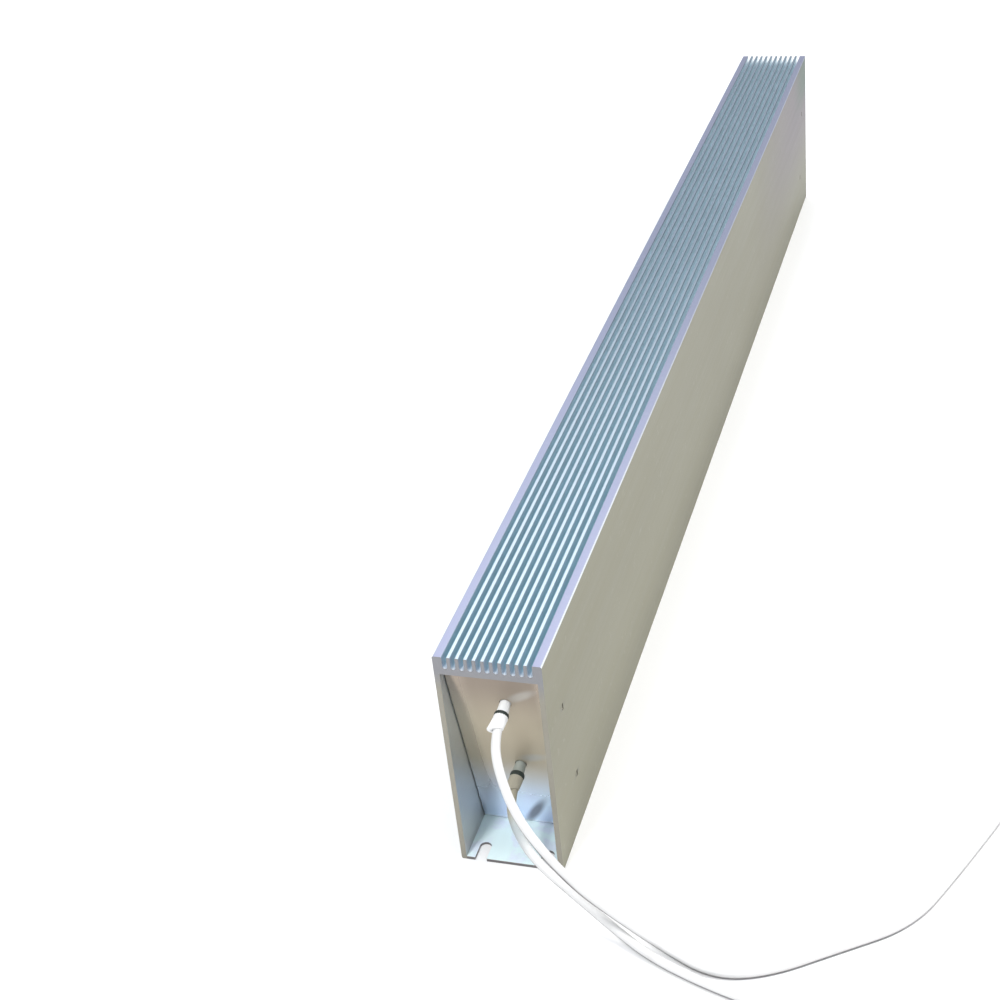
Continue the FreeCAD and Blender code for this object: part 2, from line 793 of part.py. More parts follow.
def make_liner():
    """Mica sheet folded round the inside of the housing, over the length of the tubes."""
    start = f"-{HALF_TUBE}"
    outer = add_block("LinerOuter", "Sizes.fit_gap", start, f"2 * {HALF_TUBE}")
    inner = add_block(
        "LinerInner",
        "(Sizes.fit_gap + Sizes.liner_thickness)",
        f"{start} - Sizes.support_thickness",
        f"2 * {HALF_TUBE} + 2 * Sizes.support_thickness",
    )
    return subtract("mica_liner", outer, [inner])


def make_filling():
    """Hardened quartz filling round both windings."""
    block = add_block("FillingBlock", LINER_GAP, f"-{HALF_WINDING}", f"2 * {HALF_WINDING}")
    bores = [
        add_cylinder(
            name,
            f"{WINDING_RADIUS} + Sizes.running_gap",
            height,
            f"4 * {HALF_WINDING}",
            f"-2 * {HALF_WINDING}",
        )
        for name, height in (
            ("FillingUpperBore", UPPER_TUBE),
            ("FillingLowerBore", LOWER_TUBE),
        )
    ]
    return subtract("quartz_filling", block, bores)


# The pieces, in the order in which the object would come apart
pieces = [make_housing()]
near_cover = make_cover("near_end_cover", True)
far_cover = make_cover("far_end_cover", False)
place(far_cover, turn="180", axis=V(0, 0, 1))
pieces += [near_cover, far_cover]

upper_points = lead_points(cavity_top - sheet.upper_exit_drop, sheet.upper_first_run, UPPER_ROUTE)
lower_points = lead_points(cavity_top - sheet.lower_exit_drop, sheet.lower_first_run, LOWER_ROUTE)
LEVELS = (
    ("upper", UPPER_EXIT, UPPER_TUBE, upper_points),
    ("lower", LOWER_EXIT, LOWER_TUBE, lower_points),
)
for level, exit_height, tube_height, points in LEVELS:
    far_band_start = f"{HALF_TUBE} - Sizes.band_setback - Sizes.band_width"
    pieces += [
        make_bushing(f"{level}_lead_bushing", exit_height),
        make_ring(f"{level}_lead_ring", exit_height),
        make_sleeve(f"{level}_lead_sleeve", exit_height),
        make_lead(f"{level}_lead", points),
        make_bare_end(f"{level}_lead_bare_end", points),
        make_core(f"{level}_lead_core", exit_height),
        make_crimp(f"{level}_lead_crimp", exit_height),
        make_lug_band(f"{level}_near_band", tube_height, exit_height),
        make_band(f"{level}_far_band", tube_height, far_band_start),
        make_tube(f"{level}_ceramic_tube", tube_height),
        make_winding(f"{level}_winding", tube_height),
    ]
exits = (("UpperWire", UPPER_EXIT), ("LowerWire", LOWER_EXIT))
pieces += [
    make_series_link(),
    make_support("near_tube_support", f"-{HALF_TUBE}", exits),
    make_support("far_tube_support", f"{HALF_TUBE} - Sizes.support_thickness", ()),
    make_liner(),
    make_filling(),
]
doc.recompute()

# A failed feature doesn't stop the build by itself, so every object is looked at
for item in doc.Objects:
    if "Invalid" in item.State or "Error" in item.State:
        raise RuntimeError(f"{item.Name} failed: {item.State}")
for piece in pieces:
    shape = piece.Shape
    if shape.isNull() or not shape.isValid() or shape.Volume <= 0:
        raise RuntimeError(f"{piece.Label} has no valid solid")

os.makedirs("parts", exist_ok=True)
for piece in pieces:
    piece.Shape.exportStep(f"parts/{piece.Label}.step")
    box = piece.Shape.BoundBox
    print(
        f"{piece.Label}: {len(piece.Shape.Solids)} solid, {piece.Shape.Volume / 1000:.1f} cm3, "
        f"y {box.YMin:.1f} to {box.YMax:.1f}, z {box.ZMin:.1f} to {box.ZMax:.1f}"
    )
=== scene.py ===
# %% [markdown]
# # A braking resistor, dressed for its portrait
# The object is a tall, narrow box of extruded aluminium with a grooved roof. It holds two wound
# ceramic tubes in hardened quartz. A leaning sheet closes each end, and two white leads come out
# of the near one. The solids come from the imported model. This lesson gives them their finishes
# and replaces the small soft or glazed pieces by finer surfaces.

import math

import bpy
import numpy as np
from mathutils import Matrix, Vector


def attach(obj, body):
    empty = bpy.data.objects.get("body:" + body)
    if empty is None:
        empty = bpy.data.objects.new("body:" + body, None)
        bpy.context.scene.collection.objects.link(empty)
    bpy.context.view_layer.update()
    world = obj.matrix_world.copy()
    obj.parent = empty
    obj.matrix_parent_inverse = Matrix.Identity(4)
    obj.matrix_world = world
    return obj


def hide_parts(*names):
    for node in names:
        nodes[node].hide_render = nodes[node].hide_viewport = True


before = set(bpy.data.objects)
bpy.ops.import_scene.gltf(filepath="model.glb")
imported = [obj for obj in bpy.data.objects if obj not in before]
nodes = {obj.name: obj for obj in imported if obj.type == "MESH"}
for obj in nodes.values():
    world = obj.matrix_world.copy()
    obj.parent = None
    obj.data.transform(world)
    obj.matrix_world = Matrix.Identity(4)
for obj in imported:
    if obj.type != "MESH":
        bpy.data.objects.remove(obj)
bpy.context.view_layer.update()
MM = 0.001

# %% [markdown]
# ## The camera
# A camera fitted to the corners of the housing gives its place, its turns and its focal length.
# It could be placed by eye, but a fit keeps each corner within a few pixels. Its three axes are
# written as the columns of a matrix, because a camera that rolls is awkward as three angles.

# %% Place the camera
CAMERA_PLACE = (0.218185, -0.954184, 0.571619)
HEADING, DIP, ROLL = (math.radians(a) for a in (-20.1053, 31.8956, -6.7864))
FOCAL_PIXELS = 1720.61
FRAME_PIXELS = 1000

forward = Vector((
    math.sin(HEADING) * math.cos(DIP), math.cos(HEADING) * math.cos(DIP), -math.sin(DIP)
))
level = Vector((math.cos(HEADING), -math.sin(HEADING), 0.0))
upright = level.cross(forward)
right = math.cos(ROLL) * level + math.sin(ROLL) * upright
above = math.cos(ROLL) * upright - math.sin(ROLL) * level

lens = bpy.data.cameras.new("Camera")
lens.sensor_width = 36.0
lens.lens = FOCAL_PIXELS / FRAME_PIXELS * lens.sensor_width
lens.clip_start, lens.clip_end = 0.01, 50.0
camera = bpy.data.objects.new("Camera", lens)
bpy.context.scene.collection.objects.link(camera)
turn = Matrix((right, above, -forward)).transposed().to_4x4()
camera.matrix_world = Matrix.Translation(CAMERA_PLACE) @ turn
bpy.context.scene.camera = camera
print(f"lens {lens.lens:.1f} mm, looking down {math.degrees(DIP):.1f} degrees")

# %% [markdown]
# ## Shader maths as plain sums
# A finish is a graph of nodes, and a graph is hard to read in a list of calls. So one small class
# wraps a socket: adding or multiplying two wrapped sockets adds the Math node that does it. Every
# other node comes from one method, which takes its kind, its settings and what goes into it.

# %% A socket that can be added and multiplied
class Value:
    """An output socket. The operators +, -, *, / on it, from either side, add Math nodes."""

    def __init__(self, finish, socket):
        self.finish = finish
        self.socket = socket

    def __add__(self, other):
        return self.finish.maths("ADD", self, other)

    def __sub__(self, other):
        return self.finish.maths("SUBTRACT", self, other)

    def __rsub__(self, other):
        return self.finish.maths("SUBTRACT", other, self)

    def __mul__(self, other):
        return self.finish.maths("MULTIPLY", self, other)

    def __truediv__(self, other):
        return self.finish.maths("DIVIDE", self, other)

    def __rtruediv__(self, other):
        return self.finish.maths("DIVIDE", other, self)

    __radd__ = __add__
    __rmul__ = __mul__


print("wrapped sockets know the four sums, from either side")

# %% A finish under construction
class Finish:
    """A material whose nodes are added one by one round its Principled shader."""

    def __init__(self, name, **constants):
        self.material = bpy.data.materials.new(name)
        self.material.use_nodes = True
        self.tree = self.material.node_tree
        self.shader = self.tree.nodes["Principled BSDF"]
        self.feed(**constants)

    def node(self, kind, settings=None, inputs=None, output=0):
        """Adds a node: first its settings, then the values or links of its sockets."""
        made = self.tree.nodes.new(kind)
        for name, value in (settings or {}).items():
            setattr(made, name, value)
        for socket, value in (inputs or {}).items():
            self.connect(value, made.inputs[socket])
        return Value(self, made.outputs[output])

    def connect(self, value, socket):
        """Links a wrapped socket, or sets a plain number or colour."""
        if isinstance(value, Value):
            self.tree.links.new(value.socket, socket)
        else:
            socket.default_value = value

    def feed(self, **values):
        """Gives values to the shader's own sockets, such as base_color or roughness."""
        for name, value in values.items():
            socket = name.replace("_", " ").title().replace("Ior", "IOR")
            self.connect(value, self.shader.inputs[socket])
        return self.material

    def maths(self, operation, *values):
        """One Math node, whose inputs are numbered from 0."""
        inputs = dict(enumerate(values))
        return self.node("ShaderNodeMath", {"operation": operation}, inputs)

    def step(self, value, low, high):
        """0 below low, 1 above high, and a smooth rise between them."""
        settings = {"interpolation_type": "SMOOTHSTEP"}
        inputs = {"Value": value, "From Min": low, "From Max": high}
        return self.node("ShaderNodeMapRange", settings, inputs)

    def beyond(self, value, start, end):
        """0 below one place and 1 above another, both in millimetres."""
        return self.step(value, start * MM, end * MM)

    def short_of(self, value, start, end):
        """1 below one place and 0 above another, both in millimetres."""
        return 1.0 - self.beyond(value, start, end)

    def span(self, value, low, high):
        """Carries a value of 0 to 1 to the span from low to high."""
        return value * (high - low) + low

    def mix(self, factor, first, second):
        """Colour between two colours: the first where the factor is 0, the second where it is 1.

        A Mix node has sockets for each kind of data. Inputs 6 and 7 and output 2 are colours.
        """
        inputs = {0: factor, 6: first, 7: second}
        return self.node("ShaderNodeMix", {"data_type": "RGBA"}, inputs, output=2)

    def layers(self, tone, coats):
        """Lays coats over a tone, one by one. A coat is where it lies, 0 to 1, and its colour."""
        for where, coat in coats:
            tone = self.mix(where, tone, coat)
        return tone

    def place(self, scale=(1.0, 1.0, 1.0)):
        """The piece's own coordinates in metres, stretched along its three directions."""
        coordinates = self.node("ShaderNodeTexCoord", output="Object")
        inputs = {"Vector": coordinates, "Scale": scale}
        return self.node("ShaderNodeMapping", None, inputs)

    def axes(self, vector):
        """The three numbers of a vector."""
        split = self.node("ShaderNodeSeparateXYZ", None, {"Vector": vector})
        return [Value(self, output) for output in split.socket.node.outputs]

    def noise(self, vector, scale, detail=3.0, rough=0.5):
        """Soft random pattern of 0 to 1, with so many waves to a metre of the coordinates."""
        inputs = {"Vector": vector, "Scale": scale, "Detail": detail, "Roughness": rough}
        return self.node("ShaderNodeTexNoise", None, inputs)

    def bump(self, height, depth, strength):
        """Normal of a surface whose relief is height times depth, in metres."""
        inputs = {"Height": height, "Distance": depth, "Strength": strength}
        return self.node("ShaderNodeBump", None, inputs)


def colour(red, green, blue):
    """Opaque colour, each part from 0 to 1."""
    return (red, green, blue, 1.0)


print("helpers for finishes are ready")

# %% [markdown]
# ## The leads
# Each lead is a stranded conductor in white insulation, 4.2 mm thick and about 0.4 m long. It
# comes straight out of its bushing, falls to the floor and runs on in loose curves. A simulated
# rope would lie well but could not follow the photograph. A NURBS spline through a few control
# points can, and it stays as smooth as a real lead.

# %% Where the leads start and go
TILT = math.radians(13.0)
OUTWARD = np.array((0.0, -math.cos(TILT), -math.sin(TILT)))
CAVITY_TOP = 110.5 * MM
COVER_TOP_Y = -396.5 * MM
EXIT_X = 3.5 * MM
NOSE = 7.8 * MM
LEAD_RADIUS = 2.1 * MM
EXIT_HEIGHTS = {"upper": 91.0 * MM, "lower": 47.0 * MM}
FIRST_RUNS = {"upper": 11.4 * MM, "lower": 14.2 * MM}
ROUTES = {  # control points in millimetres
    "upper": [
        (8.5, -424.2, 80.4), (18.5, -435.0, 64.2), (32.5, -438.2, 45.1), (44.0, -434.9, 25.9),
        (59.4, -434.3, 12.6), (80.1, -439.4, 3.5), (103.8, -450.0, 2.3), (126.6, -444.1, 2.1),
        (153.3, -425.3, 2.1), (183.0, -404.7, 2.1), (198.3, -372.3, 2.1), (213.6, -336.3, 2.1),
        (228.3, -301.0, 2.1), (238.5, -265.5, 2.1),
    ],
    "lower": [
        (10.0, -415.3, 36.2), (21.4, -423.2, 26.6), (40.0, -428.6, 15.2), (56.9, -434.8, 6.0),
        (76.4, -445.2, 2.1), (102.0, -455.4, 2.1), (130.1, -463.0, 2.1), (162.1, -463.5, 2.1),
        (196.1, -461.1, 2.1), (231.1, -460.2, 2.1), (266.0, -464.1, 2.1), (301.0, -471.4, 2.1),
        (335.0, -476.3, 2.1), (368.0, -476.0, 2.1),
    ],
}


def exit_point(level, out=0.0):
    """Point on an exit's axis: on the cover's front at a height, then a distance outwards."""
    front = COVER_TOP_Y + (CAVITY_TOP - EXIT_HEIGHTS[level]) * math.tan(TILT)
    return np.array((EXIT_X, front, EXIT_HEIGHTS[level])) + OUTWARD * out


def lead_points(level):
    """Control points: the bushing's mouth, one point straight out of it, and the route."""
    start = [exit_point(level, NOSE), exit_point(level, NOSE + FIRST_RUNS[level])]
    return np.array(start + [np.array(point) * MM for point in ROUTES[level]])


def smooth_line(name, points, radius):
    """Curve object: an open NURBS spline of order 3 that starts and ends at its end points.

    The thickness is each point's radius times the bevel depth. A depth of 1 m leaves it to the
    radius alone, which is also what the curve's own box adds round its points.
    """
    data = bpy.data.curves.new(name, "CURVE")
    data.dimensions = "3D"
    spline = data.splines.new("NURBS")
    spline.points.add(len(points) - 1)
    for control, point in zip(spline.points, points):
        control.co = (*point, 1.0)
        control.radius = radius
    spline.order_u = 3
    spline.use_endpoint_u = True
    spline.resolution_u = 20
    data.twist_mode = "Z_UP"  # keeps one side of the UV map on top all along
    data.bevel_depth = 1.0
    data.bevel_resolution = 6
    data.use_fill_caps = True
    line = bpy.data.objects.new(name, data)
    bpy.context.scene.collection.objects.link(line)
    return line


leads = {
    level: smooth_line(f"{level}_insulation", lead_points(level), LEAD_RADIUS)
    for level in ROUTES
}
for level, lead in leads.items():
    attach(lead, "root")
    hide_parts(f"{level}_lead")
print("leads start at", [np.round(lead_points(level)[0], 4).tolist() for level in ROUTES])

# %% [markdown]
# The insulation is a white fibre braid filled with silicone: it is dull rather than glossy, and a
# fine diamond pattern shows close up. The pattern follows the lead, so it reads the curve's own
# UV map, where one direction runs along the lead and the other round it. A dark line of painted
# shade runs along the underside, and the lower lead carries painted shade, grey and then tan,
# where it leaves the near end.

# %% Insulation
UNDERSIDE = 0.6875  # where the curve's UV map, going round, is lowest


def braided(name, along, around, relief, tint, dirt, rough, shaded_underside=0.0, shaded_start=0.0):
    """Two families of yarns that cross as diamonds: each is a row of ridges |sin|, on a slant.

    Painted shade darkens the underside past the first tenth and colours the first sixth grey, then
    tan.
    """
    finish = Finish(name, specular_ior_level=0.3)
    uv = finish.node("ShaderNodeTexCoord", output="UV")
    lengthwise, round_it, _ = finish.axes(uv)
    first = finish.maths("SINE", (lengthwise * along + round_it * around) * math.pi)
    second = finish.maths("SINE", (lengthwise * along - round_it * around) * math.pi)
    over = finish.step(first * second, -0.08, 0.08)
    ridge_one = finish.maths("ABSOLUTE", first)
    ridge_two = finish.maths("ABSOLUTE", second)
    weave = ridge_one * over + ridge_two * (1.0 - over)
    smear = finish.noise(finish.place(), 60.0, 4.0)
    grime = finish.step(smear, 0.52, 0.78)
    shade = finish.mix(grime * 0.5, tint, dirt)
    valley = (1.0 - weave) * 0.25
    shade = finish.mix(valley, shade, dirt)
    # Painted shade on the lower lead's first stretch: grey, and tan nearest the exit.
    grey_painted_shade = (1.0 - finish.step(lengthwise, 0.10, 0.17)) * shaded_start
    shade = finish.mix(grey_painted_shade, shade, colour(0.36, 0.40, 0.41))
    tan_painted_shade = (1.0 - finish.step(lengthwise, 0.05, 0.10)) * shaded_start
    shade = finish.mix(tan_painted_shade, shade, colour(0.33, 0.31, 0.24))
    # Painted shade: a dark line along the lead's underside, past its first tenth.
    below = finish.maths("ABSOLUTE", round_it - UNDERSIDE)
    below = finish.maths("MINIMUM", below, 1.0 - below)
    underside = (1.0 - finish.step(below, 0.16, 0.27)) * finish.step(lengthwise, 0.08, 0.16) * shaded_underside
    shade = finish.mix(underside, shade, colour(0.12, 0.105, 0.11))
    return finish.feed(
        base_color=shade,
        roughness=finish.span(weave, rough + 0.15, rough),
        normal=finish.bump(weave, relief, 0.7),
    )


WHITE, SOILED = colour(0.69, 0.69, 0.685), colour(0.52, 0.51, 0.50)
INSULATION = {
    "upper": braided(
        "White lead insulation", 420.0, 10.0, 0.00006, WHITE, SOILED, 0.45, shaded_underside=1.0
    ),
    # The lower lead gets the same insulation with painted shade on its first stretch.
    "lower": braided(
        "Lower lead insulation in painted shade", 420.0, 10.0, 0.00006, WHITE, SOILED, 0.45, shaded_underside=1.0, shaded_start=1.0
    ),
}
for level, lead in leads.items():
    lead.data.materials.append(INSULATION[level])
print("insulation:", [material.name for material in INSULATION.values()])

# %% [markdown]
# ## Surfaces on a grid
# The new pieces are all surfaces of two parameters. A function works out every point of the grid
# at once, as an array, and one helper turns the array into a mesh. Where a direction closes on
# itself, the last row joins the first, so that no seam stays open.

# %% Grid to mesh
def grid_faces(rows, columns, wrap_rows=False):
    """Quads between neighbours. The last column joins the first, and if asked the last row too."""
    i = np.arange(rows if wrap_rows else rows - 1)
    i, j = np.meshgrid(i, np.arange(columns), indexing="ij")
    below, beside = (i + 1) % rows, (j + 1) % columns
    corners = [i * columns + j, i * columns + beside, below * columns + beside, below * columns + j]
    return np.stack(corners, axis=-1).reshape(-1, 4)


def make_piece(name, points, faces, uv=None, smooth=True):
    """Mesh object from arrays of points and faces. Seen from outside, corners run anticlockwise."""
    mesh = bpy.data.meshes.new(name)
    mesh.from_pydata(points.tolist(), [], [list(face) for face in faces])
    if uv is not None:
        layer = mesh.uv_layers.new(name="UVMap")
        loops = np.zeros(len(mesh.loops), dtype=np.int32)
        mesh.loops.foreach_get("vertex_index", loops)
        layer.data.foreach_set("uv", uv[loops].astype(np.float32).ravel())
    mesh.polygons.foreach_set("use_smooth", np.full(len(mesh.polygons), smooth))
    mesh.update()
    piece = bpy.data.objects.new(name, mesh)
    bpy.context.scene.collection.objects.link(piece)
    return piece


def axis_frame(direction):
    """Two directions square to an axis: the first is as near to +X as can be."""
    direction = direction / np.linalg.norm(direction)
    first = np.array((1.0, 0.0, 0.0)) - direction * direction[0]
    first = first / np.linalg.norm(first)
    return first, np.cross(direction, first)


def turned_points(start, direction, distance, radius, angle):
    """Points at a distance along an axis, a radius away from it, at an angle round it."""
    first, second = axis_frame(direction)
    spoke = np.cos(angle)[..., None] * first + np.sin(angle)[..., None] * second
    return start + distance[..., None] * direction + radius[..., None] * spoke


print("grid helpers are ready")

# %% [markdown]
# ## Ceramic bushings
# A bushing is pressed from steatite, glazed and fired. It carries the conductor through the
# cover, and a collar behind the sheet holds it. A lathe shape is a profile turned about the axis.
# The profile below is a closed loop in distance and radius. Its nose has a slight belly, and its
# corners are rounded as glaze rounds them.

# %% Turn the bushings
BORE = 1.2 * MM
MOUTH = NOSE - 0.2 * MM
NOSE_RADIUS = 2.7 * MM
SEAT_END, SEAT_RADIUS = 9.0 * MM, 2.2 * MM
COLLAR_BACK, COLLAR_FRONT, COLLAR_RADIUS = -3.2 * MM, -1.2 * MM, 4.6 * MM
NECK_END, NECK_RADIUS = 0.05 * MM, 2.3 * MM
CROWN_LENGTH, BELLY_LENGTH = 5.55 * MM, 6.2 * MM
GLAZE_ROUNDING = 0.4 * MM


def rounded_loop(corners, rounding, steps=6):
    """Closed profile: each corner (distance, radius) is replaced by a short quadratic curve.

    On a corner with neighbours, the curve runs from a point at the rounding before it to one at
    the rounding after it: (1-t)^2 a + 2t(1-t) corner + t^2 b.
    """
    corners = np.array(corners, float)
    before = np.roll(corners, 1, axis=0) - corners
    after = np.roll(corners, -1, axis=0) - corners
    reach_before = np.minimum(rounding, 0.45 * np.linalg.norm(before, axis=1))[:, None]
    reach_after = np.minimum(rounding, 0.45 * np.linalg.norm(after, axis=1))[:, None]
    a = corners + before / np.linalg.norm(before, axis=1)[:, None] * reach_before
    b = corners + after / np.linalg.norm(after, axis=1)[:, None] * reach_after
    t = np.linspace(0.0, 1.0, steps)[None, :, None]
    curve = (1 - t) ** 2 * a[:, None] + 2 * t * (1 - t) * corners[:, None] + t**2 * b[:, None]
    return curve.reshape(-1, 2)


def turn_profile(name, start, direction, loop, columns=64):
    """Solid of revolution: the closed loop (distance, radius) is carried round the axis."""
    angle = np.linspace(0.0, 2 * math.pi, columns, endpoint=False)
    distance, angle_grid = np.meshgrid(loop[:, 0], angle, indexing="ij")
    radius = np.repeat(loop[:, 1][:, None], columns, axis=1)
    points = turned_points(start, direction, distance, radius, angle_grid)
    faces = grid_faces(len(loop), columns, wrap_rows=True)
    return make_piece(name, points.reshape(-1, 3), faces)


def bead_radius(distance):
    """Radius of the bellied nose: 2.5 + 0.15 sin(pi u) + 0.2 u^2 mm, u = distance / 6.2 mm."""
    u = np.clip(distance / BELLY_LENGTH, 0.0, 1.0)
    return (2.50 + 0.15 * np.sin(math.pi * u) + 0.20 * u**2) * MM


def bushing_loop():
    """Closed profile (distance, radius): seat, bore, collar behind the sheet, bellied nose."""
    crown = NECK_END + CROWN_LENGTH * np.linspace(0.0, 1.0, 30) ** 2
    corners = [
        (SEAT_END, NOSE_RADIUS), (SEAT_END, SEAT_RADIUS), (MOUTH, SEAT_RADIUS), (MOUTH, BORE),
        (COLLAR_BACK, BORE), (COLLAR_BACK, COLLAR_RADIUS), (COLLAR_FRONT, COLLAR_RADIUS),
        (COLLAR_FRONT, NECK_RADIUS), (NECK_END, NECK_RADIUS),
    ]
    rim = rounded_loop(corners, GLAZE_ROUNDING)
    return np.concatenate((rim, np.stack((crown, bead_radius(crown)), axis=1)))


def bushing(level):
    """One bushing on its exit's axis. The loop is turned round, so that its faces look outwards."""
    return turn_profile(f"{level}_bushing_glazed", exit_point(level), OUTWARD, bushing_loop()[::-1])


bushings = {level: bushing(level) for level in ROUTES}
for level, piece in bushings.items():
    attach(piece, "root")
    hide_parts(f"{level}_lead_bushing")
print("bushings:", [len(piece.data.polygons) for piece in bushings.values()], "faces")

# %% [markdown]
# Glaze is a thin glass coat on a white body. The coat gives the sharp highlight, and the body
# below is a little rough and faintly speckled. A coat on the shader does both at once. The lower
# bushing is a darker, greyer copy with a thinner coat, which stands for painted shade, so the
# recipe takes the tones.

# %% Glazed ceramic
def glazed(name, shade, light, coat):
    """Clouds between two tones, with a few specks of iron under the glaze."""
    finish = Finish(name, coat_weight=coat, coat_roughness=0.08, specular_ior_level=0.5)
    speckle = finish.step(finish.noise(finish.place(), 900.0, 2.0), 0.62, 0.75)
    cloudy = finish.noise(finish.place(), 160.0, 3.0)
    body = finish.mix(cloudy, colour(*shade), colour(*light))
    return finish.feed(
        base_color=finish.mix(speckle * 0.35, body, colour(0.45, 0.43, 0.38)),
        roughness=finish.span(cloudy, 0.30, 0.42),
        normal=finish.bump(cloudy, 0.00004, 0.4),
    )


CERAMIC = {
    "upper": glazed("Glazed white ceramic", (0.95, 0.96, 0.96), (0.98, 0.99, 0.99), 0.8),
    # The lower bushing's dark tones are painted shade.
    "lower": glazed("Lower ceramic in painted shade", (0.28, 0.31, 0.28), (0.40, 0.43, 0.40), 0.3),
}
for level, piece in bushings.items():
    piece.data.materials.append(CERAMIC[level])
print("finishes:", [material.name for material in CERAMIC.values()])

# %% [markdown]
# ## Rubber rings
# A dark ring stretched over the bushing's nose keeps the sleeve in place. Its section was round
# before it was stretched and is now a little flat: a superellipse, which is a circle whose
# corners fill out as the power of its sine and cosine falls below 1.

# %% Stretch the rings
RING_PLACE = 7.0 * MM
RING_HALF = {"upper": 0.95 * MM, "lower": 1.35 * MM}
RING_HEIGHT = 0.70 * MM


def ring_loop(half, steps=28, power=0.75):
    """Section (distance, radius): |cos|^p and |sin|^p with their signs, flat side on the nose."""
    t = np.linspace(0.0, 2 * math.pi, steps, endpoint=False)
    across = np.sign(np.cos(t)) * np.abs(np.cos(t)) ** power
    up = np.sign(np.sin(t)) * np.abs(np.sin(t)) ** power
    radius = NOSE_RADIUS + RING_HEIGHT * 0.5 * (1.0 + up)
    return np.stack((RING_PLACE - half * across, radius), axis=1)


rings = {
    level: turn_profile(f"{level}_ring_rubber", exit_point(level), OUTWARD, ring_loop(half))
    for level, half in RING_HALF.items()
}
rubber = Finish("Dark rubber", specular_ior_level=0.45)
bloom = rubber.noise(rubber.place(), 500.0, 4.0)
dark_rubber = rubber.feed(
    base_color=rubber.mix(bloom, colour(0.012, 0.018, 0.016), colour(0.045, 0.060, 0.054)),
    roughness=rubber.span(bloom, 0.35, 0.60),
    normal=rubber.bump(bloom, 0.00006, 0.6),
)
for level, piece in rings.items():
    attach(piece, "root")
    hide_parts(f"{level}_lead_ring")
    piece.data.materials.append(dark_rubber)
print("rings:", [piece.name for piece in rings.values()])

# %% [markdown]
# ## Glass-fibre sleeves
# A short woven sleeve covers the joint. It grips the nose, opens towards the lead and was cut off
# at a slant, so that one side stands out as a point. The surface is a tube whose length depends
# on the angle and whose yarns are real ridges in the mesh. The lower sleeve is a darker, tan copy
# of the upper one: painted shade.

# %% Weave the sleeves
SLEEVE_START = 7.8 * MM
SLEEVE_LENGTH = 8.3 * MM
SLEEVE_GRIP = 2.75 * MM
SLEEVE_WALL = 0.55 * MM
MOUTH_TURN = math.radians(143.0)
YARNS, YARN_HEIGHT = 18, 0.14 * MM
UV_LENGTH = 0.0076  # how far the weave's UV map runs along a sleeve


def sleeve_grid(rows, columns, lift):
    """Distance and radius of one skin of the sleeve.

    With v from 0 to 1 along it and w = (1 + cos(angle - mouth)) / 2 round it, the distance is
    start + v * length * (0.72 + 0.28 w). Both skins shrink towards the lead by 0.6 v mm. The outer
    one also grows by 1.9 v^1.2 w^4 mm, so the longest side ends in a thick bent point.
    """
    v = np.linspace(0.0, 1.0, rows)[:, None]
    angle = np.linspace(0.0, 2 * math.pi, columns, endpoint=False)[None, :]
    w = 0.5 * (1.0 + np.cos(angle - MOUTH_TURN))
    distance = SLEEVE_START + v * SLEEVE_LENGTH * (0.72 + 0.28 * w)
    flare = 1.9 * v**1.2 * w**4 * (lift / SLEEVE_WALL)
    radius = SLEEVE_GRIP + lift + (flare - 0.6 * v) * MM
    return v + 0 * angle, angle + 0 * v, distance, radius


def weave_height(v, angle, turns=4.0):
    """Ridges of two crossing families of yarns: the higher of |sin| of each slanting direction."""
    first = np.abs(np.sin(0.5 * YARNS * angle + turns * math.pi * v))
    second = np.abs(np.sin(0.5 * YARNS * angle - turns * math.pi * v))
    return np.maximum(first, second)


def sleeve(level, rows=48, columns=144):
    """Closed shell: the woven outer skin, then back along the smoother inner skin."""
    v, angle, distance, radius = sleeve_grid(rows, columns, SLEEVE_WALL)
    radius = radius + YARN_HEIGHT * (weave_height(v, angle) - 1.0)
    outer = turned_points(exit_point(level), OUTWARD, distance, radius, angle)
    _, _, distance, radius = sleeve_grid(rows, columns, 0.0)
    inner = turned_points(exit_point(level), OUTWARD, distance, radius, angle)
    skin_uv = np.stack((v * UV_LENGTH, angle / (2 * math.pi)), axis=-1)
    points = np.concatenate((outer, inner[::-1]))
    uv = np.concatenate((skin_uv, skin_uv[::-1]))
    faces = grid_faces(2 * rows, columns, wrap_rows=True)
    points, uv = points.reshape(-1, 3), uv.reshape(-1, 2)
    return make_piece(f"{level}_sleeve_woven", points, faces[:, ::-1], uv)


GLASS_FIBRE = {
    "upper": braided(
        "Woven glass fibre", 700.0, YARNS, 0.00004,
        colour(0.86, 0.86, 0.855), colour(0.62, 0.61, 0.58), 0.55,
    ),
    # The lower sleeve's darker tan tones are painted shade.
    "lower": braided(
        "Lower glass fibre in painted shade", 700.0, YARNS, 0.00004,
        colour(0.40, 0.375, 0.30), colour(0.26, 0.24, 0.19), 0.6,
    ),
}
sleeves = {level: sleeve(level) for level in ROUTES}
for level, piece in sleeves.items():
    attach(piece, "root")
    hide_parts(f"{level}_lead_sleeve")
    piece.data.materials.append(GLASS_FIBRE[level])
print("sleeves:", [len(piece.data.polygons) for piece in sleeves.values()], "faces")

# %% [markdown]
# ## Bare ends
# The last 9 mm of each lead are stripped: seven tinned strands, six of them laid round the middle
# one. Each strand is a tube along a helix. Its ring of points is turned with the helix, and its
# ends close on a point, as solder leaves them.

# %% Lay the strands
BARE_LENGTH = 9.0 * MM
STRAND_RADIUS = 0.36 * MM
STRANDS_ROUND = 6
LAY_TURNS = 0.9
TIP_STEEPNESS = 18.0


